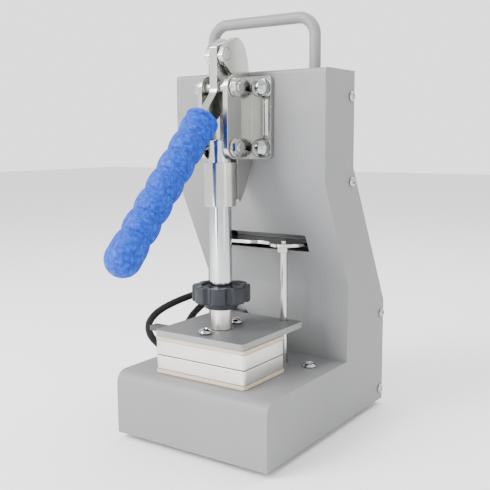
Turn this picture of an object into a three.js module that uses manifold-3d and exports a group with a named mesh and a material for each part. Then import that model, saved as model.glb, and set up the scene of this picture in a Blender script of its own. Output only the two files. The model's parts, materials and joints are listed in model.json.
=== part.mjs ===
// Tabletop heated press: a toggle clamp drives a plunger with two heated platens under it.
// Millimetres, +Z up, +Y towards the back. The housing's front face is y = 0 and its lower edge
// z = 0 while the pieces are made; the whole group is then centred on the surface it stands on.
import * as THREE from 'three';
import { mergeVertices } from 'three/addons/utils/BufferGeometryUtils.js';
import Module from 'manifold-3d';

const wasm = await Module();
wasm.setup();

// Housing
const WIDTH = 128;
const SHEET = 2;
const GAP = 0.3;
const BASE_TOP = 45.5;
const COLUMN_Y = 109.7;
const PANEL_Y = 73.1;
const INCLINE_LOW = 103.6;
const INCLINE_HIGH = 179.3;
const TOP = 257;
const BACK_UPPER_Y = 115.9;
const BACK_LOWER_Y = 172.8;
const BACK_SLOPE_HIGH = 188.6;
const BACK_SLOPE_LOW = 81.7;
const FRONT_EDGE_R = 10;
const SIDE = WIDTH / 2;
const INNER_SIDE = SIDE - SHEET - GAP;
const FLANGE_DEPTH = 12;
const SCREW_EDGE = 5;
const SLOT = { x: 38, low: 127.3, high: 140.2 };
const FOOT_HEIGHT = 4;
const FOOT_R = 8;
const FOOT_INSET = 20;
const HANDLE_X = 44;
const HANDLE_Y = 94;
const HANDLE_R = 4.1;
const HANDLE_RISE = 37;
const HANDLE_BEND = 13;
const BASE_SCREW = { x: 46.3, y: 84.9 };

// Platens and head, stacked on the base under the plunger
const PRESS_Y = 40.5;
const PLATEN = { x: 76.2, y: 50.8, r: 3 };
const PLATEN_Y = 38.4;
const POCKET = { x: 60, y: 28, depth: 3.2 };
const INSULATION_LIP = 0.2;
const LOWER_INSULATION = [45.8, 48.5];
const LOWER_PLATEN = [48.8, 58.7];
const UPPER_PLATEN = [59.4, 69.3];
const UPPER_INSULATION = [69.6, 72.3];
const CARRIER = { low: 72.6, high: 77, x: 37.6, front: 12, back: 90, r: 3 };
const BOSS = { r: 7.3, top: 92, floor: 80 };
const CARRIER_SCREW_Y = [21.4, 58.7];
const KNOB = { r: 20.5, groove: 2.8, lobes: 8, hub: 11.8, low: 92.3, step: 97.2, high: 108.7 };
const KNOB_TURN = -15 * Math.PI / 180;
const KNOB_RECESS_R = 8.5;
const KNOB_RECESS_FLOOR = 97;
const SPINDLE_R = 4;
const SPINDLE_TOP = 122;
const PLUNGER = { r: 7.75, low: 102.5, high: 209.5, bore: 131 };
const GLAND = { x: [-44, -39.2], y: [27, 66], z: [52.5, 71.6] };
const GLAND_TAB = { x: [-50, -38.2], y: [20, 28.5], z: [73.2, 76.6] };
const BARREL = { r: 11, low: 164, high: 194 };
const GUIDE = { x: 24, y: 85.5, r: 2.6, low: 39.5, shoulder: 127.6, top: 136.5 };
const BRACKET = [131.8, 134.2];
const BRACKET_BACK = 138;
const BRACKET_LIP = { x: [-36, 31], y: 112, high: 146 };

// Toggle clamp: handle pivot F, crank pivot C and plunger pivot P, as (y, z)
const F = [PRESS_Y, 266];
const C = [PRESS_Y, 244];
const P = [PRESS_Y, 204];
const WEB = [3.4, 7.2];
const FLANGE_X = 23.2;
const FLANGE_Y = [69.1, 72.8];
const FLANGE_Z = [195.5, 253];
const CLAMP_BOLT_X = 15.6;
const BEAD_X = 18.6;
const CLAMP_BOLT_Z = [203.3, 244.8];
const ARM_HALF = 3;
const LINK = { inner: 8.8, outer: 12.4, r: 8 };
const NUT_FACES = 10;
const PIVOT_R = 4;
const PIN_R = 3;
const PIN_END = 18;
const GRIP_TOP = [22.3, 223.2];
const GRIP_TILT = 43.6 * Math.PI / 180;
const GRIP = { length: 126.7, r: 11.5, notch: 10.3, lobes: 7, tang: 50 };

// Rear controls
const CONTROLLER = { z: 222, x: 60, height: 40, bodyX: 46, bodyHeight: 22, depth: 30 };
const BUTTON_X = 12;
const BUTTON_DROP = 13;
const BUTTON_CLEARANCE = 1.2;
const INLET = { z: 42, x: 31, height: 54, depth: 26 };
const ROCKER_RISE = 13.5;
const ROCKER_TILT = 7 * Math.PI / 180;
const SOCKET_DROP = 9;

const CABLE_R = 2.6;
const GROMMET = { x: -42, z: 87, r: 9 };
const CLIP = { x: [-48, -25.2], y: 102.5, z: [66, 74] };

const paint = { color: 0x9c9d9f, roughness: 0.55, metalness: 0.2 };
const zinc = { color: 0xc9cbcc, roughness: 0.22, metalness: 1 };
const chrome = { color: 0xd8dadc, roughness: 0.1, metalness: 1 };
const aluminium = { color: 0xd2d0ca, roughness: 0.35, metalness: 0.9 };
const mica = { color: 0xe2d4c4, roughness: 0.8, metalness: 0 };
const black = { color: 0x484c54, roughness: 0.5, metalness: 0 };
const rubber = { color: 0x1b1b1c, roughness: 0.85, metalness: 0 };
const blue = { color: 0x1e5fc8, roughness: 0.6, metalness: 0 };
const grey = { color: 0x8b8d90, roughness: 0.6, metalness: 0 };
const darkPaint = { color: 0x727375, roughness: 0.5, metalness: 0.2 };
const green = { color: 0x1f6b3a, roughness: 0.5, metalness: 0 };

const press = new THREE.Group();

function add(name, geometry, finish, position = [0, 0, 0], rotation = [0, 0, 0]) {
  const mesh = new THREE.Mesh(geometry, new THREE.MeshStandardMaterial(finish));
  mesh.name = name;
  mesh.position.set(...position);
  mesh.rotation.set(...rotation);
  press.add(mesh);
  return mesh;
}

// Booleans
function toSolid(geometry) {
  const bare = geometry.clone();
  bare.deleteAttribute('normal');
  bare.deleteAttribute('uv');
  const merged = mergeVertices(bare, 1e-4);
  return new wasm.Manifold(new wasm.Mesh({
    numProp: 3,
    vertProperties: new Float32Array(merged.attributes.position.array),
    triVerts: new Uint32Array(merged.index.array),
  }));
}

function toGeometry(solid) {
  const mesh = solid.getMesh();
  const geometry = new THREE.BufferGeometry();
  geometry.setAttribute('position', new THREE.BufferAttribute(new Float32Array(mesh.vertProperties), 3));
  geometry.setIndex(new THREE.BufferAttribute(new Uint32Array(mesh.triVerts), 1));
  geometry.computeVertexNormals();
  return geometry;
}

function cut(geometry, ...tools) {
  return toGeometry(tools.reduce((body, tool) => body.subtract(toSolid(tool)), toSolid(geometry)));
}

function join(geometry, ...others) {
  return toGeometry(others.reduce((body, other) => body.add(toSolid(other)), toSolid(geometry)));
}

// Outlines
function rounded(points, radii = 0) {
  const shape = new THREE.Shape();
  points.forEach((point, i) => {
    const corner = new THREE.Vector2(...point);
    const before = new THREE.Vector2(...points[(i + points.length - 1) % points.length]).sub(corner);
    const after = new THREE.Vector2(...points[(i + 1) % points.length]).sub(corner);
    const radius = Array.isArray(radii) ? radii[i] : radii;
    const start = corner.clone().addScaledVector(before.normalize(), radius);
    const end = corner.clone().addScaledVector(after.normalize(), radius);
    if (i === 0) {
      shape.moveTo(start.x, start.y);
    } else {
      shape.lineTo(start.x, start.y);
    }
    if (radius > 0) {
      shape.quadraticCurveTo(corner.x, corner.y, end.x, end.y);
    }
  });
  shape.closePath();
  return shape;
}

function rectangle(centreX, centreY, width, height, radius = 0) {
  const [x, y] = [width / 2, height / 2];
  const corners = [[-x, -y], [x, -y], [x, y], [-x, y]];
  return rounded(corners.map(([u, v]) => [centreX + u, centreY + v]), radius);
}

function hexagon(faces) {
  const corners = Array.from({ length: 6 }, (_, i) => {
    const angle = (i + 0.5) * Math.PI / 3;
    const radius = faces / Math.sqrt(3);
    return [radius * Math.cos(angle), radius * Math.sin(angle)];
  });
  return rounded(corners);
}

// Extrusions: the outline is (x, y), (y, z) or (x, z)
function alongZ(shape, [low, high], steps = 4) {
  const options = { depth: high - low, bevelEnabled: false, curveSegments: steps };
  return new THREE.ExtrudeGeometry(shape, options).translate(0, 0, low);
}

function alongX(shape, [low, high], steps = 4) {
  const swap = new THREE.Matrix4().set(0, 0, 1, 0, 1, 0, 0, 0, 0, 1, 0, 0, 0, 0, 0, 1);
  return alongZ(shape, [low, high], steps).applyMatrix4(swap);
}

function alongY(shape, [low, high], steps = 4) {
  return alongZ(shape, [-high, -low], steps).rotateX(Math.PI / 2);
}

// Turned pieces: (radius, height) pairs round the Z axis
function turned(profile, segments = 24) {
  const points = profile.map(([radius, height]) => new THREE.Vector2(radius, height));
  return new THREE.LatheGeometry(points, segments).rotateX(Math.PI / 2);
}

function rod(radius, [low, high], segments = 24) {
  return turned([[0, low], [radius, low], [radius, high], [0, high]], segments);
}

function rodX(radius, [low, high], [y, z], segments = 20) {
  return rod(radius, [low, high], segments).rotateY(Math.PI / 2).translate(0, y, z);
}

function rodY(radius, [low, high], [x, z], segments = 16) {
  return rod(radius, [-high, -low], segments).rotateX(Math.PI / 2).translate(x, 0, z);
}

function rodZ(radius, [low, high], [x, y], segments = 24) {
  return rod(radius, [low, high], segments).translate(x, y, 0);
}

// The line through points, moved sideways to its right, with its corners kept sharp
function beside(points, distance) {
  const sides = points.slice(1).map((point, i) => {
    const along = new THREE.Vector2(point[0] - points[i][0], point[1] - points[i][1]).normalize();
    return new THREE.Vector2(along.y, -along.x);
  });
  return points.map((point, i) => {
    const first = sides[Math.max(i - 1, 0)];
    const second = sides[Math.min(i, sides.length - 1)];
    const middle = first.clone().add(second).multiplyScalar(1 / (1 + first.dot(second)));
    return [point[0] + distance * middle.x, point[1] + distance * middle.y];
  });
}

// Housing: one folded sheet, open at the back and below, with the rear cover and bottom plate
const frontLine = [
  [0, 0], [0, BASE_TOP], [COLUMN_Y, BASE_TOP], [COLUMN_Y, INCLINE_LOW],
  [PANEL_Y, INCLINE_HIGH], [PANEL_Y, TOP], [BACK_UPPER_Y, TOP],
];
const backLine = [
  [BACK_UPPER_Y, TOP], [BACK_UPPER_Y, BACK_SLOPE_HIGH], [BACK_LOWER_Y, BACK_SLOPE_LOW], [BACK_LOWER_Y, 0],
];
const coverLine = [[BACK_UPPER_Y, TOP - SHEET - GAP], ...backLine.slice(1, -1), [BACK_LOWER_Y, SHEET + GAP]];

function coverStrip(depth) {
  return rounded([...coverLine, ...beside(coverLine, depth).reverse()]);
}

function sideScrewPoints() {
  const inside = beside(backLine, SCREW_EDGE);
  return [
    [inside[0][0], TOP - 18],
    [inside[1][0] + 2, BACK_SLOPE_HIGH - 10],
    [inside[2][0], BACK_SLOPE_LOW - 10],
    [inside[3][0], 9],
  ];
}

function screw(headR, headHeight, shankR, length, segments = 10) {
  const dome = [[1, 0], [0.95, 0.45], [0.62, 0.88], [0, 1]].map(([out, up]) => [headR * out, headHeight * up]);
  return turned([[0, -length], [shankR, -length], [shankR, 0], ...dome], segments);
}

function holes(points, radius, range, make) {
  return points.map((point) => make(radius, range, point, 10));
}

function housing() {
  const outline = [...frontLine, ...backLine.slice(1)];
  const outer = alongX(rounded(outline, [0, FRONT_EDGE_R, 0, 0, 0, 3, 0, 0, 0, 0]), [-SIDE, SIDE], 5);
  const inside = beside(frontLine, SHEET);
  const past = BACK_LOWER_Y + 30;
  const hollow = [[SHEET, -10], ...inside.slice(1, -1), [past, TOP - SHEET], [past, -10]];
  const hollowOutline = rounded(hollow, [0, FRONT_EDGE_R - SHEET, 0, 0, 0, 0, 0, 0]);
  const inner = alongX(hollowOutline, [SHEET - SIDE, SIDE - SHEET], 5);
  const slot = [PANEL_Y, COLUMN_Y + 5];
  const basePlate = [BASE_TOP - 5, BASE_TOP + 5];
  const bothSides = (x, y) => [[-x, y], [x, y]];
  const boltPoints = CLAMP_BOLT_Z.flatMap((z) => bothSides(CLAMP_BOLT_X, z));
  return cut(
    outer,
    inner,
    alongY(rectangle(0, (SLOT.low + SLOT.high) / 2, 2 * SLOT.x, SLOT.high - SLOT.low, 1), slot),
    ...holes(sideScrewPoints(), 2.1, [-SIDE - 5, SIDE + 5], rodX),
    ...holes(boltPoints, 2.9, [PANEL_Y - 5, PANEL_Y + 5], rodY),
    ...holes(bothSides(HANDLE_X, HANDLE_Y), HANDLE_R + GAP, [TOP - 5, TOP + 5], rodZ),
    ...holes(bothSides(BASE_SCREW.x, BASE_SCREW.y), 2.3, basePlate, rodZ),
    rodZ(GUIDE.r + GAP, basePlate, [GUIDE.x, GUIDE.y], 16),
    rodZ(4, basePlate, [0, PRESS_Y], 12),
    rodY(GROMMET.r - 2, [COLUMN_Y - 5, COLUMN_Y + 5], [GROMMET.x, GROMMET.z], 14),
  );
}

function rearCover() {
  const skin = alongX(coverStrip(SHEET), [-INNER_SIDE, INNER_SIDE]);
  const flanges = [-1, 1].map((side) => {
    const range = [side * INNER_SIDE, side * (INNER_SIDE - SHEET)].sort((a, b) => a - b);
    return alongX(coverStrip(FLANGE_DEPTH), range);
  });
  const through = [BACK_UPPER_Y - 10, BACK_LOWER_Y + 10];
  return cut(
    join(skin, ...flanges),
    alongY(rectangle(0, CONTROLLER.z, CONTROLLER.bodyX + 2 * GAP, CONTROLLER.bodyHeight + 2 * GAP), through),
    alongY(rectangle(0, INLET.z, INLET.x - 4 + 2 * GAP, INLET.height - 6 + 2 * GAP), through),
    ...holes(sideScrewPoints(), 2.1, [-SIDE - 5, SIDE + 5], rodX),
  );
}

function carryHandle() {
  const path = new THREE.CurvePath();
  const top = TOP + HANDLE_RISE;
  const point = (x, z) => new THREE.Vector3(x, HANDLE_Y, z);
  const line = (from, to) => path.add(new THREE.LineCurve3(from, to));
  const bend = (from, corner, to) => path.add(new THREE.QuadraticBezierCurve3(from, corner, to));
  line(point(-HANDLE_X, TOP - 6), point(-HANDLE_X, top - HANDLE_BEND));
  bend(point(-HANDLE_X, top - HANDLE_BEND), point(-HANDLE_X, top), point(HANDLE_BEND - HANDLE_X, top));
  line(point(HANDLE_BEND - HANDLE_X, top), point(HANDLE_X - HANDLE_BEND, top));
  bend(point(HANDLE_X - HANDLE_BEND, top), point(HANDLE_X, top), point(HANDLE_X, top - HANDLE_BEND));
  line(point(HANDLE_X, top - HANDLE_BEND), point(HANDLE_X, TOP - 6));
  return tube(path, HANDLE_R, 22, 10);
}

function tube(path, radius, steps, sides) {
  const section = new THREE.Shape();
  for (let i = 0; i < sides; i += 1) {
    const angle = i * 2 * Math.PI / sides;
    const [u, v] = [radius * Math.cos(angle), radius * Math.sin(angle)];
    if (i === 0) {
      section.moveTo(u, v);
    } else {
      section.lineTo(u, v);
    }
  }
  section.closePath();
  return new THREE.ExtrudeGeometry(section, { steps, extrudePath: path, bevelEnabled: false });
}

add('housing_shell', housing(), paint);
add('rear_cover', rearCover(), paint);
add('carry_handle', carryHandle(), paint);

const plateMiddle = (SHEET + GAP + BACK_LOWER_Y) / 2;
const plateDepth = BACK_LOWER_Y - SHEET - GAP;
add('bottom_plate', alongZ(rectangle(0, plateMiddle, 2 * INNER_SIDE, plateDepth, 2), [0, SHEET]), paint);

const footProfile = [
  [0, -GAP], [FOOT_R, -GAP], [FOOT_R - 1, 0.6 - FOOT_HEIGHT], [FOOT_R - 2, -FOOT_HEIGHT], [0, -FOOT_HEIGHT],
];
[['front', FOOT_INSET], ['rear', BACK_LOWER_Y - FOOT_INSET]].forEach(([end, y]) => {
  [['left', -1], ['right', 1]].forEach(([side, sign]) => {
    const foot = turned(footProfile.toReversed(), 16);
    add(`foot_${end}_${side}`, foot, rubber, [sign * (SIDE - FOOT_INSET), y, 0]);
  });
});

sideScrewPoints().forEach(([y, z], i) => {
  [['left', -1], ['right', 1]].forEach(([side, sign]) => {
    const turn = [0, sign * Math.PI / 2, 0];
    add(`side_screw_${side}_${i + 1}`, screw(3.6, 2.2, 1.8, 7), chrome, [sign * (SIDE + GAP), y, z], turn);
  });
});

[['left', -1], ['right', 1]].forEach(([side, sign]) => {
  const place = [sign * BASE_SCREW.x, BASE_SCREW.y, BASE_TOP + GAP];
  add(`base_screw_${side}`, screw(5.1, 3.2, 2, 8, 12), chrome, place);
});

// Lower platen on the base, upper platen and carrier on the plunger
const platenOutline = rectangle(0, PLATEN_Y, PLATEN.x, PLATEN.y, PLATEN.r);
const lip = 2 * INSULATION_LIP;
const insulationOutline = rectangle(0, PLATEN_Y, PLATEN.x + lip, PLATEN.y + lip, PLATEN.r);
const pocketOutline = rectangle(0, PLATEN_Y, POCKET.x, POCKET.y, 3);
const heaterOutline = rectangle(0, PLATEN_Y, POCKET.x - 2 * GAP, POCKET.y - 2 * GAP, 3);
const carrierScrewPoints = CARRIER_SCREW_Y.map((y) => [0, y]);
const screwHoles = (range) => holes(carrierScrewPoints, 2.3, range, rodZ);

const lowerPocket = alongZ(pocketOutline, [LOWER_PLATEN[0] - 1, LOWER_PLATEN[0] + POCKET.depth]);
const upperPocket = alongZ(pocketOutline, [UPPER_PLATEN[1] - POCKET.depth, UPPER_PLATEN[1] + 1]);
const leadHole = rodZ(4, [LOWER_INSULATION[0] - 1, LOWER_INSULATION[1] + 1], [0, PRESS_Y], 12);
add('lower_insulation', cut(alongZ(insulationOutline, LOWER_INSULATION), leadHole), mica);
add('lower_platen', cut(alongZ(platenOutline, LOWER_PLATEN), lowerPocket), aluminium);
add('lower_heater', alongZ(heaterOutline, [LOWER_PLATEN[0], LOWER_PLATEN[0] + POCKET.depth - GAP]), mica);
const blindHoles = screwHoles([UPPER_PLATEN[1] - 5, UPPER_PLATEN[1] + 1]);
add('upper_platen', cut(alongZ(platenOutline, UPPER_PLATEN), upperPocket, ...blindHoles), aluminium);
add('upper_heater', alongZ(heaterOutline, [UPPER_PLATEN[1] - POCKET.depth + GAP, UPPER_PLATEN[1]]), mica);
const insulationHoles = screwHoles([UPPER_INSULATION[0] - 1, UPPER_INSULATION[1] + 1]);
add('upper_insulation', cut(alongZ(insulationOutline, UPPER_INSULATION), ...insulationHoles), mica);

function carrier() {
  const middle = (CARRIER.front + CARRIER.back) / 2;
  const outline = rectangle(0, middle, 2 * CARRIER.x, CARRIER.back - CARRIER.front, CARRIER.r);
  const through = [CARRIER.low - 1, CARRIER.high + 1];
  const guideHole = rodZ(GUIDE.r + 0.6, through, [GUIDE.x, GUIDE.y], 16);
  return cut(alongZ(outline, [CARRIER.low, CARRIER.high]), guideHole, ...screwHoles(through));
}

function boss() {
  const body = rodZ(BOSS.r, [CARRIER.high + GAP, BOSS.top], [0, PRESS_Y], 28);
  return cut(body, rodZ(SPINDLE_R + GAP, [BOSS.floor, BOSS.top + 1], [0, PRESS_Y], 20));
}

add('carrier_plate', carrier(), darkPaint);
add('head_boss', boss(), aluminium);
CARRIER_SCREW_Y.forEach((y, i) => {
  const end = ['front', 'back'][i];
  add(`carrier_screw_${end}`, screw(4.7, 3.4, 2, 12, 12), chrome, [0, y, CARRIER.high + GAP]);
});

function gland() {
  const slab = ({ x, y, z }, radius) => {
    const outline = rectangle((x[0] + x[1]) / 2, (y[0] + y[1]) / 2, x[1] - x[0], y[1] - y[0], radius);
    return alongZ(outline, z);
  };
  const post = { x: GLAND.x, y: [GLAND.y[0], GLAND.y[0] + 6], z: [GLAND.z[1] - 1, GLAND_TAB.z[0] + 1] };
  return join(slab(GLAND, 1.2), slab(post, 1), slab(GLAND_TAB, 1.5));
}

add('cable_gland', gland(), grey);

// Adjusting knob on its spindle, and the plunger it draws up
function knob() {
  // Each lobe is a wide arc with a narrow groove beside it: the groove's depths go from its middle outwards
  const lobed = new THREE.Shape();
  const perLobe = 8;
  const depths = [1, 0.75, 0.05, 0, 0];
  const points = KNOB.lobes * perLobe;
  for (let i = 0; i < points; i += 1) {
    const angle = i * 2 * Math.PI / points + KNOB_TURN;
    const away = Math.abs(i % perLobe - perLobe / 2);
    const radius = KNOB.r - KNOB.groove * depths[away];
    const [x, y] = [radius * Math.cos(angle), radius * Math.sin(angle)];
    if (i === 0) {
      lobed.moveTo(x, y);
    } else {
      lobed.lineTo(x, y);
    }
  }
  lobed.closePath();
  const body = alongZ(lobed, [KNOB.step, KNOB.high]);
  const hub = rod(KNOB.hub, [KNOB.low, KNOB.step + 1], 28);
  const dish = turned([[0, -1.4], [13, -1.4], [14, 1], [0, 1]], 28).translate(0, 0, KNOB.high);
  const recess = rod(KNOB_RECESS_R, [KNOB_RECESS_FLOOR, KNOB.high + 1], 24);
  const bore = rod(SPINDLE_R + GAP, [KNOB.low - 1, KNOB.high], 20);
  return cut(join(body, hub), dish, recess, bore).translate(0, PRESS_Y, 0);
}

function plunger() {
  const chamfer = 0.8;
  const body = turned([
    [0, PLUNGER.low], [PLUNGER.r - chamfer, PLUNGER.low], [PLUNGER.r, PLUNGER.low + chamfer],
    [PLUNGER.r, PLUNGER.high - chamfer], [PLUNGER.r - chamfer, PLUNGER.high], [0, PLUNGER.high],
  ], 28).translate(0, PRESS_Y, 0);
  const bore = rodZ(SPINDLE_R + GAP, [PLUNGER.low - 1, PLUNGER.bore], [0, PRESS_Y], 20);
  return cut(body, bore, rodX(PIN_R + GAP, [-20, 20], P, 12));
}

add('adjuster_knob', knob(), black);
add('spindle', rodZ(SPINDLE_R, [BOSS.floor + GAP, SPINDLE_TOP], [0, PRESS_Y], 20), zinc);
add('plunger', plunger(), chrome);
const barrelProfile = [
  [PLUNGER.r + GAP, BARREL.low], [BARREL.r, BARREL.low], [BARREL.r, BARREL.high],
  [PLUNGER.r + GAP, BARREL.high], [PLUNGER.r + GAP, BARREL.low],
];
add('plunger_barrel', turned(barrelProfile, 28), zinc, [0, PRESS_Y, 0]);

// Guide rod that keeps the head from turning
const guideProfile = [
  [0, GUIDE.low], [GUIDE.r, GUIDE.low], [GUIDE.r, GUIDE.shoulder], [2, GUIDE.shoulder],
  [2, GUIDE.top - 0.5], [1.5, GUIDE.top], [0, GUIDE.top],
];
add('guide_rod', turned(guideProfile, 16), zinc, [GUIDE.x, GUIDE.y, 0]);
const nutRange = [GUIDE.shoulder + GAP, BRACKET[0] - GAP];
const nutHole = rod(2 + GAP, [nutRange[0] - 1, nutRange[1] + 1], 16);
add('guide_rod_nut', cut(alongZ(hexagon(8), nutRange), nutHole), zinc, [GUIDE.x, GUIDE.y, 0]);

function guideBracket() {
  const shape = new THREE.Shape();
  const right = SLOT.x - 2;
  shape.moveTo(-right, BRACKET_BACK);
  shape.lineTo(-right, 88);
  shape.quadraticCurveTo(-18, 84, -6, 87);
  shape.quadraticCurveTo(4, 92, 11, 87);
  shape.lineTo(13, 83);
  shape.quadraticCurveTo(24, 72, right, 90);
  shape.lineTo(right, BRACKET_BACK);
  shape.closePath();
  const hole = rodZ(2 + GAP, [BRACKET[0] - 1, BRACKET[1] + 1], [GUIDE.x, GUIDE.y], 16);
  const width = BRACKET_LIP.x[1] - BRACKET_LIP.x[0];
  const lipOutline = rectangle(BRACKET_LIP.x[0] + width / 2, BRACKET_LIP.y + 1, width, 2);
  return cut(join(alongZ(shape, BRACKET, 8), alongZ(lipOutline, [BRACKET[0], BRACKET_LIP.high])), hole);
}

add('guide_bracket', guideBracket(), zinc);

// Toggle clamp
function mirrorX([low, high], sign) {
  return sign > 0 ? [low, high] : [-high, -low];
}

function clampPlate(sign) {
  const outline = [
    [FLANGE_Y[1] - 2, 252.6], [66.7, 253], [65, 263], [60.5, 274.5], [52, 279], [37, 271.6], [33.8, 264.5],
    [36, 260.8], [47, 252], [50.5, 249.5], [50.5, 196], [51.5, 194], [51.5, 168], [54.6, 166], [60, 173],
    [FLANGE_Y[1] - 2, FLANGE_Z[0]],
  ];
  const radii = [0, 0, 0, 4, 4, 2, 1.5, 1.5, 0, 0, 0, 0, 1, 1, 0, 0];
  const web = alongX(rounded(outline, radii), mirrorX(WEB, sign), 3);
  const middle = (WEB[0] + FLANGE_X) / 2;
  const height = FLANGE_Z[1] - FLANGE_Z[0];
  const face = rectangle(sign * middle, (FLANGE_Z[0] + FLANGE_Z[1]) / 2, FLANGE_X - WEB[0], height, 3);
  const spine = rectangle(sign * (WEB[0] + 3), (FLANGE_Z[0] + FLANGE_Z[1]) / 2, 6, height);
  const bead = rod(2.1, [212, 237], 12).scale(1, 0.5, 1).translate(sign * BEAD_X, FLANGE_Y[0], 0);
  const boltHoles = CLAMP_BOLT_Z.map((z) => [sign * CLAMP_BOLT_X, z]);
  return cut(
    join(web, alongY(face, FLANGE_Y), alongY(spine, FLANGE_Y), bead),
    rodX(PIVOT_R + GAP, mirrorX([WEB[0] - 1, WEB[1] + 1], sign), F, 20),
    ...holes(boltHoles, 2.9, [FLANGE_Y[0] - 2, FLANGE_Y[1] + 2], rodY),
  );
}

function domeBolt() {
  const dome = [[6.8, 0], [7, 1.2], [6.6, 3.2], [5.4, 5.3], [3, 6.9], [0, 7.5]];
  return turned([[0, -12], [2.5, -12], [2.5, 0], ...dome], 14);
}

function link(sign) {
  const plate = new THREE.Shape();
  plate.absarc(P[0], P[1], LINK.r, Math.PI, 2 * Math.PI);
  plate.absarc(C[0], C[1], LINK.r, 0, Math.PI);
  plate.closePath();
  const range = mirrorX([LINK.inner, LINK.outer], sign);
  const through = mirrorX([LINK.inner - 1, LINK.outer + 1], sign);
  return cut(alongX(plate, range, 6), ...[P, C].map((pivot) => rodX(PIN_R + GAP, through, pivot, 12)));
}

function nutX(sign, [y, z]) {
  const washer = rodX(6.3, mirrorX([LINK.outer + GAP, LINK.outer + 1.4], sign), [y, z], 12);
  const nut = alongX(hexagon(NUT_FACES), mirrorX([LINK.outer + 1.2, PIN_END - 1], sign)).translate(0, y, z);
  const end = rodX(PIN_R, mirrorX([PIN_END - 1.5, PIN_END], sign), [y, z], 10);
  return [washer, nut, end];
}

function gripPoint(along, across) {
  const [sin, cos] = [Math.sin(GRIP_TILT), Math.cos(GRIP_TILT)];
  return [GRIP_TOP[0] - along * sin + across * cos, GRIP_TOP[1] - along * cos - across * sin];
}

function handleArm() {
  const outline = [
    [33.8, 271], [33.8, 241], gripPoint(-6, -4), gripPoint(GRIP.tang, -4), gripPoint(GRIP.tang, 4),
    gripPoint(-1, 4), [34.5, 222.5], [39.8, 228], [49.5, 240], [50.5, 277],
  ];
  const radii = [1, 3, 2, 1.5, 1.5, 0, 2, 2, 4, 3];
  const bar = alongX(rounded(outline, radii), [-ARM_HALF, ARM_HALF], 4);
  return cut(
    bar,
    rodX(PIVOT_R + GAP, [-ARM_HALF - 1, ARM_HALF + 1], F, 20),
    rodX(PIN_R + GAP, [-ARM_HALF - 1, ARM_HALF + 1], C, 12),
  );
}

function grip() {
  const profile = [[0, 0.3], [GRIP.r - 2.6, 0.3], [GRIP.r - 0.8, 1.4]];
  const lobed = GRIP.length - GRIP.r;
  const steps = 3;
  for (let i = 1; i <= GRIP.lobes * steps; i += 1) {
    const phase = (i % steps) / steps;
    const radius = GRIP.notch + (GRIP.r - GRIP.notch) * Math.sqrt(Math.sin(Math.PI * phase));
    const last = i === GRIP.lobes * steps;
    profile.push([last ? GRIP.r : radius, 1.4 + (lobed - 1.4) * i / (GRIP.lobes * steps)]);
  }
  for (let i = 1; i <= 5; i += 1) {
    const angle = i * Math.PI / 10;
    profile.push([i === 5 ? 0 : GRIP.r * Math.cos(angle), lobed + GRIP.r * Math.sin(angle)]);
  }
  const slot = rectangle(0, 0, 2 * (ARM_HALF + GAP), 8 + 2 * GAP);
  return cut(turned(profile, 14), alongZ(slot, [-1, GRIP.tang + GAP])).rotateX(Math.PI - GRIP_TILT);
}

[['left', -1], ['right', 1]].forEach(([side, sign]) => {
  add(`clamp_plate_${side}`, clampPlate(sign), zinc);
  add(`link_${side}`, link(sign), zinc);
  CLAMP_BOLT_Z.forEach((z, i) => {
    const end = ['lower', 'upper'][i];
    const place = [sign * CLAMP_BOLT_X, FLANGE_Y[0] - GAP, z];
    add(`clamp_bolt_${end}_${side}`, domeBolt(), chrome, place, [Math.PI / 2, 0, 0]);
  });
  const shank = rodX(PIN_R, mirrorX([LINK.inner, PIN_END - 1], sign), C, 12);
  add(`crank_bolt_${side}`, join(shank, ...nutX(sign, C)), zinc);
});
const plungerShank = rodX(PIN_R, [1 - PIN_END, PIN_END - 1], P, 12);
add('plunger_pin', join(plungerShank, ...nutX(-1, P), ...nutX(1, P)), zinc);
add('handle_pivot_pin', rodX(PIVOT_R, [-WEB[1], WEB[1]], F, 20), zinc);
const crankShank = rodX(PIN_R, [GAP - LINK.inner, LINK.inner - GAP], C, 12);
const spacers = [-1, 1].map((sign) => rodX(4.5, mirrorX([ARM_HALF + GAP, LINK.inner - GAP], sign), C, 14));
add('crank_pin', join(crankShank, ...spacers), zinc);
add('handle_arm', handleArm(), zinc);
add('handle_grip', grip(), blue, [0, ...GRIP_TOP]);

// Controls and inlet on the rear cover, board on the bottom plate
function controller() {
  const face = BACK_UPPER_Y + GAP;
  const bezel = alongY(rectangle(0, CONTROLLER.z, CONTROLLER.x, CONTROLLER.height, 3), [face, face + 4]);
  const body = rectangle(0, CONTROLLER.z, CONTROLLER.bodyX, CONTROLLER.bodyHeight);
  const window = rectangle(0, CONTROLLER.z + 5, 44, 20, 1);
  return cut(
    join(bezel, alongY(body, [face - CONTROLLER.depth, face + 1])),
    alongY(window, [face + 3, face + 6]),
    ...holes(buttonPoints, 3.1, [face + 1.5, face + 6], rodY),
  );
}

const buttonPoints = [-1, 1].map((side) => [side * BUTTON_X, CONTROLLER.z - BUTTON_DROP]);

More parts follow.
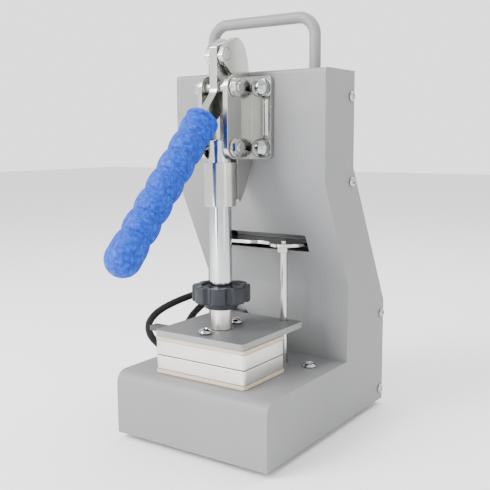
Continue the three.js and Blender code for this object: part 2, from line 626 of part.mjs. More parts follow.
function mainsInlet() {
  const face = BACK_LOWER_Y + GAP;
  const flange = alongY(rectangle(0, INLET.z, INLET.x, INLET.height, 2), [face, face + 2]);
  const body = alongY(rectangle(0, INLET.z, INLET.x - 4, INLET.height - 6), [face - INLET.depth, face + 1]);
  const socket = rectangle(0, INLET.z - SOCKET_DROP, 24.5, 16.5, 3);
  const pins = [[-7, -1], [0, 3], [7, -1]].map(([x, rise]) => {
    const outline = rectangle(x, INLET.z - SOCKET_DROP + rise, 2, 4);
    return alongY(outline, [face - 17, face - 1]);
  });
  const rockerWell = rectangle(0, INLET.z + ROCKER_RISE, 21, 15.2);
  const hollowed = cut(
    join(flange, body),
    alongY(socket, [face - 16, face + 3]),
    alongY(rockerWell, [face - 11, face + 3]),
  );
  return join(hollowed, ...pins);
}

function rocker() {
  const outline = [[-5, -6.4], [2.4, -6.4], [0.6, 0], [2.4, 6.4], [-5, 6.4]];
  const paddle = alongX(rounded(outline, [1, 1, 0, 1, 1]), [-10, 10]);
  return paddle.rotateX(ROCKER_TILT);
}

function board() {
  const panel = alongZ(rectangle(0, 88, 96, 76), [8, 9.6]);
  const corners = [[-42, 56], [42, 56], [-42, 120], [42, 120]];
  const legs = corners.map((spot) => rodZ(3, [SHEET + GAP, 8.5], spot, 12));
  const blocks = [[-28, 70, 28, 24, 22], [10, 66, 18, 15, 16], [30, 104, 20, 26, 14], [-20, 112, 40, 10, 10]];
  const parts = blocks.map(([x, y, width, depth, height]) => {
    return alongZ(rectangle(x, y, width, depth), [9, 9 + height]);
  });
  return join(panel, ...legs, ...parts);
}

add('controller', controller(), black);
buttonPoints.forEach(([x, z], i) => {
  const cap = turned([[0, 0], [2.8, 0], [2.8, 3.4], [2.2, 3.9], [0, 3.9]], 16);
  const place = [x, BACK_UPPER_Y + GAP + 1.5 + BUTTON_CLEARANCE, z];
  add(`button_${['down', 'up'][i]}`, cap, grey, place, [-Math.PI / 2, 0, 0]);
});
add('mains_inlet', mainsInlet(), black);
add('rocker_switch', rocker(), rubber, [0, BACK_LOWER_Y - 1.2, INLET.z + ROCKER_RISE]);
add('control_board', board(), green);

// Two braided cables from the head to the column
const neckR = GROMMET.r - 2.4;
const behind = -SHEET - GAP;
const grommetProfile = [
  [0, behind - 2], [GROMMET.r - 1, behind - 2], [GROMMET.r - 1, behind], [neckR, behind],
  [neckR, GAP], [GROMMET.r, GAP], [GROMMET.r - 1, 3], [0, 3],
];
const wall = COLUMN_Y - GAP;
const ferrule = turned(grommetProfile, 14).rotateX(Math.PI / 2).translate(GROMMET.x, COLUMN_Y, GROMMET.z);
const clipMiddle = [(CLIP.x[0] + CLIP.x[1]) / 2, (CLIP.z[0] + CLIP.z[1]) / 2];
const clipOutline = rectangle(...clipMiddle, CLIP.x[1] - CLIP.x[0], CLIP.z[1] - CLIP.z[0], 1);
const stem = rectangle(GROMMET.x, (CLIP.z[1] + GROMMET.z) / 2, GROMMET.r, GROMMET.z - CLIP.z[1]);
const clip = [alongY(clipOutline, [CLIP.y, wall]), alongY(stem, [wall - 2, wall])];
add('cable_grommet', join(ferrule, ...clip), grey);

const cableEnd = COLUMN_Y - 3.5 - GAP;
const routes = {
  cable_front: [
    [-46, 33.3, 56.4], [-51.6, 30, 61.1], [-57, 28.7, 67.3], [-60.3, 31.5, 74.2], [-60.2, 37.9, 79.6],
    [-58.6, 45.2, 83.2], [-56.3, 52.9, 85.8], [-53.9, 60.7, 87.8], [-52, 68.7, 89.2],
    [-51.2, 78.1, 90], [-49.8, 87.4, 90.1], [-47.9, 96.7, 89.5], [-46, cableEnd, 88.4],
  ],
  cable_back: [
    [-46.2, 60.4, 61.9], [-49.7, 62.7, 64.7], [-51.1, 65.7, 68.5], [-50.8, 69, 72.3], [-49.5, 72.3, 76],
    [-47.7, 75.7, 79.3], [-45.8, 79.4, 82.2], [-44, 83.4, 84.7], [-42.6, 88, 86.4],
    [-41, 94, 87.3], [-39.7, 100, 87.4], [-38.8, cableEnd, 87],
  ],
};
Object.entries(routes).forEach(([name, points]) => {
  const path = new THREE.CatmullRomCurve3(points.map((point) => new THREE.Vector3(...point)));
  add(name, tube(path, CABLE_R, 2 * (points.length - 1), 8), rubber);
});

// The origin is the middle of the press on the surface that it stands on
press.updateMatrixWorld(true);
const pieces = press.children.filter((mesh) => !(mesh.name in routes));
const box = pieces.reduce((all, mesh) => all.expandByObject(mesh, true), new THREE.Box3());
const middle = box.getCenter(new THREE.Vector3());
press.position.set(-middle.x, -middle.y, -box.min.z);

export default press;
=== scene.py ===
"""Looks of the tabletop heated press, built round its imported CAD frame.

Blender's own units are metres, +Z up, +Y to the back. The pieces' sizes are in the CAD part's millimetres.
"""
import json
import math

import bmesh
import bpy
from mathutils import Matrix, Vector


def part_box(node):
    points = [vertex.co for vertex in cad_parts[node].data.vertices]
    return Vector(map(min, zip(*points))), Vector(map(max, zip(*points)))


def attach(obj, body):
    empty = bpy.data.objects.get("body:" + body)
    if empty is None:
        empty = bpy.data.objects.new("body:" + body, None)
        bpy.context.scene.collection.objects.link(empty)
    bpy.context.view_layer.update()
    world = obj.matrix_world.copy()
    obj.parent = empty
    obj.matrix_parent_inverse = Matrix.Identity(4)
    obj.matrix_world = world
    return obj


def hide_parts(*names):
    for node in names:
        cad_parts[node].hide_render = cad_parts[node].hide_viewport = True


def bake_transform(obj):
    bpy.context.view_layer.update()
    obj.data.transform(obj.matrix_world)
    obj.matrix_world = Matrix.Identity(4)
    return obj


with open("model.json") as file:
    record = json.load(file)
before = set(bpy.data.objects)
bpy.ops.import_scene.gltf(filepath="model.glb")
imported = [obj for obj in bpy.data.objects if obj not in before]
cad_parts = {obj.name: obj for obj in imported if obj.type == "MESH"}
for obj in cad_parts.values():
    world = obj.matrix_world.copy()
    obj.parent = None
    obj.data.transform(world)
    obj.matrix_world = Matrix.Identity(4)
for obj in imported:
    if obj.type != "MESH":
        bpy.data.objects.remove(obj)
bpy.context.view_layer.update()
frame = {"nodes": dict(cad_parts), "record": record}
MM = 0.001

# The housing's front face and lower edge: the CAD part's own y = 0 and z = 0
ORIGIN = Vector((0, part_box("housing_shell")[0].y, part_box("housing_shell")[0].z))


def at(x, y, z):
    """A point given in the part's own millimetres, from the housing's front face and lower edge."""
    return ORIGIN + Vector((x, y, z)) * MM


# ---------------------------------------------------------------- camera, light and floor

# The target is in the part's own millimetres, the distance in metres
CAMERA_AZIMUTH = math.radians(34.51)
CAMERA_ELEVATION = math.radians(7.97)
CAMERA_ROLL = math.radians(-0.34)
CAMERA_DISTANCE = 0.5655
CAMERA_TARGET = (-6.68, 80.0, 131.4)
LENS = 55.72
SENSOR_WIDTH = 36
NEAR_CLIP = 0.01


def add_camera():
    data = bpy.data.cameras.new("camera")
    data.lens = LENS
    data.sensor_width = SENSOR_WIDTH
    data.clip_start = NEAR_CLIP
    camera = bpy.data.objects.new("camera", data)
    bpy.context.collection.objects.link(camera)
    back = Vector((
        math.sin(CAMERA_AZIMUTH) * math.cos(CAMERA_ELEVATION),
        -math.cos(CAMERA_AZIMUTH) * math.cos(CAMERA_ELEVATION),
        math.sin(CAMERA_ELEVATION),
    ))
    turn = back.to_track_quat("Z", "Y").to_matrix().to_4x4() @ Matrix.Rotation(CAMERA_ROLL, 4, "Z")
    camera.matrix_world = Matrix.Translation(at(*CAMERA_TARGET) + back * CAMERA_DISTANCE) @ turn
    bpy.context.scene.camera = camera


FLOOR_SIZE = 8
FLOOR_DROP = 0.0005
FLOOR_GREY = 0.94
# How bright the studio is by height: 0.5 is the horizon and all below it, 1 is straight up
STUDIO_SHADES = [(0.5, 1.0), (0.62, 1.0), (0.8, 0.6), (1, 0.85)]
STUDIO_STRENGTH = 2.1
# Name, place, aim, size and watts of each area light, in metres
LIGHTS = [
    ("key", (-0.5, -0.9, 0.9), (0, 0, 0.14), (0.5, 0.7), 26),
    ("fill", (1.0, -0.3, 0.35), (0, 0, 0.14), (0.3, 0.7), 1),
    ("left_strip", (-0.2, -1.0, 0.35), (0, 0, 0.14), (0.07, 0.8), 5),
    ("rim", (0.1, 0.6, 1.1), (0, 0, 0.1), (0.8, 0.4), 9),
]


def add_floor():
    bpy.ops.mesh.primitive_plane_add(size=FLOOR_SIZE, location=(0, 0, -FLOOR_DROP))
    floor = bpy.context.object
    floor.name = "studio_floor"
    material, _, _, shader = new_material("floor_white", 0.9)
    shader.inputs["Base Color"].default_value = (FLOOR_GREY, FLOOR_GREY, FLOOR_GREY, 1)
    floor.data.materials.append(material)


def add_world():
    """A pale studio round the object, darker above than at the horizon."""
    world = bpy.data.worlds.new("studio")
    bpy.context.scene.world = world
    world.use_nodes = True
    nodes, links = world.node_tree.nodes, world.node_tree.links
    coordinates = nodes.new("ShaderNodeTexCoord")
    direction = nodes.new("ShaderNodeSeparateXYZ")
    links.new(coordinates.outputs["Generated"], direction.inputs["Vector"])
    height = spread(nodes, links, direction.outputs["Z"], 0.5, 1)
    colour = ramp(nodes, links, height, [(stop, (grey,) * 3) for stop, grey in STUDIO_SHADES])
    background = nodes["Background"]
    links.new(colour, background.inputs["Color"])
    background.inputs["Strength"].default_value = STUDIO_STRENGTH


def add_light(name, place, aim, size, watts):
    data = bpy.data.lights.new(name, "AREA")
    data.shape = "RECTANGLE"
    data.size, data.size_y = size
    data.energy = watts
    lamp = bpy.data.objects.new(name, data)
    bpy.context.collection.objects.link(lamp)
    direction = Vector(aim) - Vector(place)
    turn = direction.to_track_quat("-Z", "Y").to_matrix().to_4x4()
    lamp.matrix_world = Matrix.Translation(place) @ turn


def add_stage():
    add_floor()
    add_world()
    for light in LIGHTS:
        add_light(*light)


# ---------------------------------------------------------------- material helpers

def new_material(name, roughness, metallic=0.0):
    material = bpy.data.materials.new(name)
    material.use_nodes = True
    nodes, links = material.node_tree.nodes, material.node_tree.links
    shader = nodes["Principled BSDF"]
    shader.inputs["Roughness"].default_value = roughness
    shader.inputs["Metallic"].default_value = metallic
    return material, nodes, links, shader


def texture(nodes, links, kind, scale, stretch=(1, 1, 1), **values):
    """A procedural texture in the object's own metres, stretched along its axes."""
    coordinates = nodes.new("ShaderNodeTexCoord")
    mapping = nodes.new("ShaderNodeMapping")
    mapping.inputs["Scale"].default_value = stretch
    links.new(coordinates.outputs["Object"], mapping.inputs["Vector"])
    node = nodes.new(kind)
    node.inputs["Scale"].default_value = scale
    for key, value in values.items():
        node.inputs[key].default_value = value
    links.new(mapping.outputs["Vector"], node.inputs["Vector"])
    return node


def ramp(nodes, links, source, stops):
    """A colour ramp on a 0 to 1 output: stops are (position, colour) pairs."""
    node = nodes.new("ShaderNodeValToRGB")
    elements = node.color_ramp.elements
    while len(elements) < len(stops):
        elements.new(0.5)
    for element, (position, colour) in zip(elements, stops):
        element.position = position
        element.color = (*colour, 1)
    links.new(source, node.inputs["Fac"])
    return node.outputs["Color"]


def spread(nodes, links, source, low, high):
    """Maps a value from the range 0 to 1 to the range low to high, and keeps it there."""
    node = nodes.new("ShaderNodeMapRange")
    node.inputs["To Min"].default_value = low
    node.inputs["To Max"].default_value = high
    links.new(source, node.inputs["Value"])
    return node.outputs["Result"]


def multiplied(nodes, links, first, second):
    """The product of two colours."""
    node = nodes.new("ShaderNodeVectorMath")
    node.operation = "MULTIPLY"
    links.new(first, node.inputs[0])
    links.new(second, node.inputs[1])
    return node.outputs["Vector"]


def bump(nodes, links, shader, source, depth, below=None):
    """A bump of a depth in metres, on top of another bump node if one is given."""
    node = nodes.new("ShaderNodeBump")
    node.inputs["Strength"].default_value = 1.0
    node.inputs["Distance"].default_value = depth
    links.new(source, node.inputs["Height"])
    if below:
        links.new(below.outputs["Normal"], node.inputs["Normal"])
    links.new(node.outputs["Normal"], shader.inputs["Normal"])
    return node


# ---------------------------------------------------------------- materials

def powder_coat(name, grey, top_shade_grey=None):
    """Grey powder coat with a fine orange-peel grain and faint clouds.

    Given a grey for the top, faces that look up turn to that darker grey: painted shade.
    """
    material, nodes, links, shader = new_material(name, 0.5)
    clouds = texture(nodes, links, "ShaderNodeTexNoise", 9, Detail=3)
    dark = (grey * 0.94, grey * 0.95, grey * 0.97)
    light = (grey * 1.05, grey * 1.06, grey * 1.08)
    colour = ramp(nodes, links, clouds.outputs["Fac"], [(0.3, dark), (0.7, light)])
    # Painted shade: faces that look up are painted darker
    if top_shade_grey:
        facing = nodes.new("ShaderNodeSeparateXYZ")
        links.new(nodes.new("ShaderNodeNewGeometry").outputs["Normal"], facing.inputs["Vector"])
        stops = [(0.6, (1, 1, 1)), (0.95, (top_shade_grey / grey,) * 3)]
        shade = ramp(nodes, links, facing.outputs["Z"], stops)
        colour = multiplied(nodes, links, colour, shade)
    links.new(colour, shader.inputs["Base Color"])
    peel = texture(nodes, links, "ShaderNodeTexNoise", 1500, Detail=2)
    gloss = spread(nodes, links, peel.outputs["Fac"], 0.4, 0.6)
    links.new(gloss, shader.inputs["Roughness"])
    bump(nodes, links, shader, peel.outputs["Fac"], depth=0.00005)
    shader.inputs["Specular IOR Level"].default_value = 0.45
    return material


def bright_metal(name, colour, roughness, stretch, depth, reflection_streaks=0.0):
    """Plated or polished metal with drawn lines stretched along its axes, and smudges in its tone.

    The last argument is how much darker the long streaks along Z are, as a share: a painted reflection of
    dark surroundings in the metal.
    """
    material, nodes, links, shader = new_material(name, roughness, 1.0)
    smudge = texture(nodes, links, "ShaderNodeTexNoise", 60, Detail=4)
    dark = tuple(channel * 0.9 for channel in colour)
    tone = ramp(nodes, links, smudge.outputs["Fac"], [(0.35, dark), (0.65, colour)])
    # Painted reflection: long dark streaks along Z, as if dark surroundings were mirrored in the metal
    if reflection_streaks:
        reflection_lines = texture(nodes, links, "ShaderNodeTexNoise", 160, (1, 1, 0.02), Detail=1)
        stops = [(0.38, (1 - reflection_streaks,) * 3), (0.52, (1, 1, 1))]
        shade = ramp(nodes, links, reflection_lines.outputs["Fac"], stops)
        tone = multiplied(nodes, links, tone, shade)
    links.new(tone, shader.inputs["Base Color"])
    lines = texture(nodes, links, "ShaderNodeTexNoise", 300, stretch, Detail=3)
    gloss = spread(nodes, links, lines.outputs["Fac"], roughness * 0.7, roughness * 1.35)
    links.new(gloss, shader.inputs["Roughness"])
    bump(nodes, links, shader, lines.outputs["Fac"], depth)
    return material


def insulation_board():
    """Pressed mineral board: warm beige with flecks and a fibrous grain."""
    material, nodes, links, shader = new_material("insulation_board", 0.85)
    flecks = texture(nodes, links, "ShaderNodeTexVoronoi", 900)
    stops = [(0.1, (0.4, 0.31, 0.23)), (0.45, (0.56, 0.45, 0.35))]
    colour = ramp(nodes, links, flecks.outputs["Distance"], stops)
    links.new(colour, shader.inputs["Base Color"])
    fibres = texture(nodes, links, "ShaderNodeTexNoise", 500, (1, 1, 6), Detail=4)
    bump(nodes, links, shader, fibres.outputs["Fac"], depth=0.0001)
    return material


def blue_grip():
    """Soft blue grip: mottled, with a pebbled skin."""
    material, nodes, links, shader = new_material("blue_grip", 0.55)
    pebbles = texture(nodes, links, "ShaderNodeTexNoise", 420, Detail=5, Roughness=0.7)
    stops = [(0.32, (0.0, 0.022, 0.2)), (0.5, (0.0, 0.045, 0.4)), (0.68, (0.004, 0.1, 0.6))]
    colour = ramp(nodes, links, pebbles.outputs["Fac"], stops)
    links.new(colour, shader.inputs["Base Color"])
    grain = texture(nodes, links, "ShaderNodeTexVoronoi", 1100)
    below = bump(nodes, links, shader, grain.outputs["Distance"], depth=0.00012)
    bump(nodes, links, shader, pebbles.outputs["Fac"], depth=0.0003, below=below)
    shader.inputs["Specular IOR Level"].default_value = 0.25
    return material


def moulded_plastic(name, dark, light, roughness, scale=900, shine=0.5):
    """Moulded plastic or rubber with a fine spark-eroded grain of a scale, in two close tones."""
    material, nodes, links, shader = new_material(name, roughness)
    clouds = texture(nodes, links, "ShaderNodeTexNoise", 40, Detail=3)
    colour = ramp(nodes, links, clouds.outputs["Fac"], [(0.35, dark), (0.65, light)])
    links.new(colour, shader.inputs["Base Color"])
    grain = texture(nodes, links, "ShaderNodeTexNoise", scale, Detail=2)
    gloss = spread(nodes, links, grain.outputs["Fac"], roughness * 0.8, min(1, roughness * 1.2))
    shader.inputs["Specular IOR Level"].default_value = shine
    links.new(gloss, shader.inputs["Roughness"])
    bump(nodes, links, shader, grain.outputs["Fac"], depth=0.00003)
    return material


STRAND_SLANT = math.radians(35)


def cable_braid():
    """Woven black sleeve: two sets of strands that cross at a slant, on the tube's own UVs."""
    material, nodes, links, shader = new_material("cable_braid", 0.6)
    coordinates = nodes.new("ShaderNodeTexCoord")
    heights = []
    for slant in (STRAND_SLANT, -STRAND_SLANT):
        mapping = nodes.new("ShaderNodeMapping")
        mapping.inputs["Rotation"].default_value = (0, 0, slant)
        links.new(coordinates.outputs["UV"], mapping.inputs["Vector"])
        wave = nodes.new("ShaderNodeTexWave")
        wave.inputs["Scale"].default_value = 3
        wave.inputs["Distortion"].default_value = 0.3
        links.new(mapping.outputs["Vector"], wave.inputs["Vector"])
        heights.append(wave.outputs["Fac"])
    weave = nodes.new("ShaderNodeMath")
    weave.operation = "MULTIPLY"
    links.new(heights[0], weave.inputs[0])
    links.new(heights[1], weave.inputs[1])
    stops = [(0.0, (0.004, 0.004, 0.005)), (0.9, (0.022, 0.022, 0.023))]
    colour = ramp(nodes, links, weave.outputs[0], stops)
    shader.inputs["Specular IOR Level"].default_value = 0.3
    links.new(colour, shader.inputs["Base Color"])
    bump(nodes, links, shader, weave.outputs[0], depth=0.0003)
    return material


def circuit_board():
    """Green solder mask with paler tracks under it."""
    material, nodes, links, shader = new_material("circuit_board", 0.35)
    tracks = texture(nodes, links, "ShaderNodeTexBrick", 60)
    tracks.inputs["Color1"].default_value = (0.012, 0.09, 0.035, 1)
    tracks.inputs["Color2"].default_value = (0.015, 0.11, 0.045, 1)
    tracks.inputs["Mortar"].default_value = (0.05, 0.22, 0.09, 1)
    links.new(tracks.outputs["Color"], shader.inputs["Base Color"])
    grain = texture(nodes, links, "ShaderNodeTexNoise", 700)
    bump(nodes, links, shader, grain.outputs["Fac"], depth=0.00003)
    return material


HOUSING_GREY = 0.2
CARRIER_GREY = 0.24
# The carrier's painted shade: the grey its upward faces are painted, darker than the rest
CARRIER_TOP_SHADE_GREY = 0.115
ZINC = (0.54, 0.54, 0.515)
FASTENER_CHROME = (0.42, 0.425, 0.44)
PLUNGER_CHROME = (0.56, 0.57, 0.59)
ALUMINIUM = (0.72, 0.7, 0.66)
BLACK = ((0.01, 0.012, 0.016), (0.019, 0.022, 0.029))
SWITCH_BLACK = ((0.008, 0.008, 0.008), (0.015, 0.015, 0.015))
GREY = ((0.045, 0.046, 0.048), (0.065, 0.066, 0.069))
RUBBER = ((0.012, 0.012, 0.012), (0.022, 0.022, 0.022))
# The metals' stretch: a small share makes lines along that axis, a large one lines across it
MATERIALS = {
    "painted_sheet": powder_coat("painted_sheet", HOUSING_GREY),
    "carrier_paint": powder_coat("carrier_paint", CARRIER_GREY, CARRIER_TOP_SHADE_GREY),
    "zinc_plated": bright_metal("zinc_plated", ZINC, 0.2, (1, 1, 0.15), depth=0.00002),
    "chrome_fastener": bright_metal(
        "chrome_fastener", FASTENER_CHROME, 0.07, (1, 1, 1), depth=0.000004,
    ),
    # The plunger's long dark streaks are a painted reflection
    "chrome_plunger": bright_metal(
        "chrome_plunger", PLUNGER_CHROME, 0.1, (1, 1, 8), depth=0.000006, reflection_streaks=0.45,
    ),
    "platen_aluminium": bright_metal(
        "platen_aluminium", ALUMINIUM, 0.34, (0.08, 0.08, 6), depth=0.00003,
    ),
    "insulation_board": insulation_board(),
    "blue_grip": blue_grip(),
    "black_plastic": moulded_plastic("black_plastic", *BLACK, 0.45, shine=0.3),
    "switch_plastic": moulded_plastic("switch_plastic", *SWITCH_BLACK, 0.22),
    "grey_plastic": moulded_plastic("grey_plastic", *GREY, 0.5, shine=0.35),
    "rubber_foot": moulded_plastic("rubber_foot", *RUBBER, 0.8, scale=1400),
    "cable_braid": cable_braid(),
    "circuit_board": circuit_board(),
}

add_camera()
add_stage()

# ---------------------------------------------------------------- mesh helpers

# Angles in degrees past which an edge is drawn sharp
CRISP_ANGLE = 35
PLAIN_ANGLE = 40
ROUND_ANGLE = 60


def shade_smooth(mesh, sharp_angle):
    """Smooth shading that breaks at edges past an angle in degrees."""
    for polygon in mesh.polygons:
        polygon.use_smooth = True
    mesh.set_sharp_from_angle(angle=math.radians(sharp_angle))


def make_piece(name, bm, slot, body, sharp_angle=PLAIN_ANGLE):
    """Turns bmesh data in the frame's metres into a named piece, which rides on a body if one is given."""
    bmesh.ops.recalc_face_normals(bm, faces=bm.faces)
    mesh = bpy.data.meshes.new(name)
    bm.to_mesh(mesh)
    bm.free()
    shade_smooth(mesh, sharp_angle)
    piece = bpy.data.objects.new(name, mesh)
    bpy.context.collection.objects.link(piece)
    mesh.materials.append(MATERIALS[slot])
    if body:
        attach(piece, body)
    return piece


def ring_points(radius, height, count, shape=None):
    """A ring round local Z; shape(angle) scales the radius."""
    points = []
    for i in range(count):
        angle = 2 * math.pi * i / count
        reach = radius * (shape(angle) if shape else 1)
        points.append(Vector((reach * math.cos(angle), reach * math.sin(angle), height)))
    return points


def skin(bm, rows):
    """Quads between neighbouring rows of vertices, all of equal count."""
    for first, second in zip(rows, rows[1:]):
        for i in range(len(first)):
            j = (i + 1) % len(first)
            bm.faces.new((first[i], first[j], second[j], second[i]))


def loft(rings):
    """A body through rings of equal count, closed at both ends."""
    bm = bmesh.new()
    rows = [[bm.verts.new(point) for point in ring] for ring in rings]
    skin(bm, rows)
    bm.faces.new(rows[0][::-1])
    bm.faces.new(rows[-1])
    return bm


AXIS_RADIUS = 0.02


def turned(profile, count):
    """A lathe body from (radius, height) pairs in millimetres, closed at both ends.

    A point on the axis becomes a ring of AXIS_RADIUS.
    """
    return loft([
        ring_points(max(radius, AXIS_RADIUS) * MM, height * MM, count) for radius, height in profile
    ])


def placed(bm, centre, z_axis=(0, 0, 1), spin=0):
    """Moves local Z to z_axis and the origin to centre."""
    turn = Vector(z_axis).to_track_quat("Z", "Y").to_matrix().to_4x4()
    matrix = Matrix.Translation(centre) @ turn @ Matrix.Rotation(spin, 4, "Z")
    bmesh.ops.transform(bm, matrix=matrix, verts=bm.verts)
    return bm


def arc(radius, centre, start, end, steps):
    """Points on an arc of a circle, with the start and end angles in degrees."""
    points = []
    for i in range(steps + 1):
        angle = math.radians(start + (end - start) * i / steps)
        points.append((centre[0] + radius * math.cos(angle), centre[1] + radius * math.sin(angle)))
    return points


def dome(radius, low, rise, steps):
    """(radius, height) points on a quarter ellipse, from its edge at height low to the axis."""
    angles = [math.radians(90 * i / steps) for i in range(steps + 1)]
    return [(radius * math.cos(angle), low + rise * math.sin(angle)) for angle in angles]


def node_middle(node):
    low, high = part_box(node)
    return (low + high) / 2


def catmull_rom(points, per_span):
    """A smooth line through points, with per_span steps between neighbours."""
    ends = [points[0] * 2 - points[1], *points, points[-1] * 2 - points[-2]]
    line = []
    for i in range(1, len(ends) - 2):
        p0, p1, p2, p3 = ends[i - 1:i + 3]
        for step in range(per_span):
            t = step / per_span
            line.append(0.5 * (
                2 * p1 + (p2 - p0) * t + (2 * p0 - 5 * p1 + 4 * p2 - p3) * t * t
                + (3 * p1 - p0 - 3 * p2 + p3) * t * t * t
            ))
    return [*line, points[-1].copy()]


def sweep(line, radius, count):
    """A tube along a line, with its rings' axes carried along without twist."""
    last = len(line) - 1
    tangents = [
        (line[min(i + 1, last)] - line[max(i - 1, 0)]).normalized() for i in range(len(line))
    ]
    side = tangents[0].orthogonal().normalized()
    rings = []
    for point, tangent in zip(line, tangents):
        side = (side - tangent * side.dot(tangent)).normalized()
        up = tangent.cross(side)
        ring = []
        for i in range(count):
            angle = 2 * math.pi * i / count
            ring.append(point + (side * math.cos(angle) + up * math.sin(angle)) * radius)
        rings.append(ring)
    return loft(rings)


# ---------------------------------------------------------------- cables

CABLE_DIAMETER = 5.2
# The routes' points, the same as in the CAD part
CABLE_ROUTES = {
    "cable_front": [
        (-46, 33.3, 56.4), (-51.6, 30, 61.1), (-57, 28.7, 67.3), (-60.3, 31.5, 74.2), (-60.2, 37.9, 79.6),
        (-58.6, 45.2, 83.2), (-56.3, 52.9, 85.8), (-53.9, 60.7, 87.8), (-52, 68.7, 89.2), (-51.2, 78.1, 90),
        (-49.8, 87.4, 90.1), (-47.9, 96.7, 89.5), (-46, 105.9, 88.4),
    ],
    "cable_back": [
        (-46.2, 60.4, 61.9), (-49.7, 62.7, 64.7), (-51.1, 65.7, 68.5), (-50.8, 69, 72.3), (-49.5, 72.3, 76),
        (-47.7, 75.7, 79.3), (-45.8, 79.4, 82.2), (-44, 83.4, 84.7), (-42.6, 88, 86.4), (-41, 94, 87.3),
        (-39.7, 100, 87.4), (-38.8, 105.9, 87),
    ],
}
CABLE_SIDES = 24
STEPS_PER_SPAN = 6
BRAID_PITCH = 0.0035
STRANDS_ROUND = 8


def lay_uvs(mesh, ring_count, length):
    """UVs for the braid: V runs along the tube in braid pitches, U counts the strands round it."""
    layer = mesh.uv_layers.new(name="braid")
    for loop in mesh.loops:
        ring, i = divmod(loop.vertex_index, CABLE_SIDES)
        along = ring / (ring_count - 1) * length / BRAID_PITCH
        layer.data[loop.index].uv = (STRANDS_ROUND * i / CABLE_SIDES, along)


def add_cable(name):
    """A braided cable from the gland on the platens to the grommet on the column."""
    line = catmull_rom([at(*point) for point in CABLE_ROUTES[name]], STEPS_PER_SPAN)
    length = sum((b - a).length for a, b in zip(line, line[1:]))
    bm = sweep(line, CABLE_DIAMETER / 2 * MM, CABLE_SIDES)
    cable = make_piece(name + "_braid", bm, "cable_braid", None)
    lay_uvs(cable.data, len(line), length)
    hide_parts(name)
    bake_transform(cable)


for cable_name in CABLE_ROUTES:
    add_cable(cable_name)

# ---------------------------------------------------------------- hand grip and carry handle

GRIP_LENGTH = 126.7
GRIP_RADIUS = 11.5
GRIP_NOTCH = 9.6
GRIP_LOBES = 7
GRIP_TOP = (0, 22.3, 223.2)
GRIP_TILT = math.radians(43.6)
GRIP_AXIS = Vector((0, -math.sin(GRIP_TILT), -math.cos(GRIP_TILT)))
GRIP_SHOULDER = 1.6
GRIP_SWELL = 0.6
GRIP_MOUTH = 8.4
GRIP_MOUTH_HEIGHT = 0.4
GRIP_LIP = (9.7, 0.45)
LOBE_STEPS = 16
BALL_START = 6


def grip_profile():
    """(radius, height) points of the grip, from its mouth to the ball's end."""
    barrel = GRIP_LENGTH - GRIP_RADIUS
    lobes_low = GRIP_MOUTH_HEIGHT + GRIP_SHOULDER
    shoulder_centre = (GRIP_RADIUS - GRIP_SHOULDER, lobes_low)
    profile = [(GRIP_MOUTH, GRIP_MOUTH_HEIGHT), GRIP_LIP]
    profile += arc(GRIP_SHOULDER, shoulder_centre, -90, 0, steps=6)
    steps = GRIP_LOBES * LOBE_STEPS
    for i in range(1, steps + 1):
        phase = (i % LOBE_STEPS) / LOBE_STEPS
        swell = abs(math.sin(math.pi * phase)) ** GRIP_SWELL
        radius = GRIP_NOTCH + (GRIP_RADIUS - GRIP_NOTCH) * swell
        # The last lobe doesn't narrow again: it runs into the ball
        if i > steps - LOBE_STEPS / 2:
            radius = GRIP_RADIUS
        profile.append((radius, lobes_low + (barrel - lobes_low) * i / steps))
    profile += arc(GRIP_RADIUS, (0, barrel), BALL_START, 90, steps=14)
    return profile


def add_grip():
    """Seven soft lobes and a ball end, with a mouth that closes on the arm."""
    bm = placed(turned(grip_profile(), count=64), at(*GRIP_TOP), GRIP_AXIS)
    grip = make_piece("grip_sleeve", bm, "blue_grip", "handle", ROUND_ANGLE)
    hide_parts("handle_grip")


HOUSING_TOP = 257
HANDLE_X = 44.0
HANDLE_Y = 94.0
HANDLE_RADIUS = 4.1
HANDLE_TOP = HOUSING_TOP + 37
HANDLE_ROOT = HOUSING_TOP - 6
HANDLE_BEND = 13.0
BEND_GAP = 0.01


def add_carry_handle():
    """One bent rod with round corners. BEND_GAP keeps its straight end off the bend's first point."""
    corner_x = HANDLE_X - HANDLE_BEND
    corner_z = HANDLE_TOP - HANDLE_BEND
    left = [(-HANDLE_X, HANDLE_ROOT), (-HANDLE_X, corner_z - BEND_GAP)]
    left += arc(HANDLE_BEND, (-corner_x, corner_z), 180, 90, steps=14)
    points = left + [(-x, z) for x, z in reversed(left)]
    line = [at(x, HANDLE_Y, z) for x, z in points]
    bm = sweep(line, HANDLE_RADIUS * MM, count=32)
    handle = make_piece("carry_handle_rod", bm, "painted_sheet", "root", ROUND_ANGLE)
    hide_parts("carry_handle")


add_grip()
add_carry_handle()

# ---------------------------------------------------------------- fasteners

def cut_from(piece, cutter_bm):
    """Cuts closed bmesh data out of a piece, once, and keeps the result as its mesh."""
    mesh = bpy.data.meshes.new("cutter")
    cutter_bm.to_mesh(mesh)
    cutter_bm.free()
    cutter = bpy.data.objects.new("cutter", mesh)
    bpy.context.collection.objects.link(cutter)
    modifier = piece.modifiers.new("cut", "BOOLEAN")
    modifier.operation = "DIFFERENCE"
    modifier.solver = "EXACT"
    modifier.object = cutter
    evaluated = piece.evaluated_get(bpy.context.evaluated_depsgraph_get())
    result = bpy.data.meshes.new_from_object(evaluated)
    piece.modifiers.remove(modifier)
    piece.data = result
    bpy.data.objects.remove(cutter)
    shade_smooth(result, CRISP_ANGLE)


# Shares of the recess's span and outline: half a wing's width, and the floor's size
HALF_WING = 0.17
RECESS_FLOOR = 0.35
CUTTER_RISE = 2


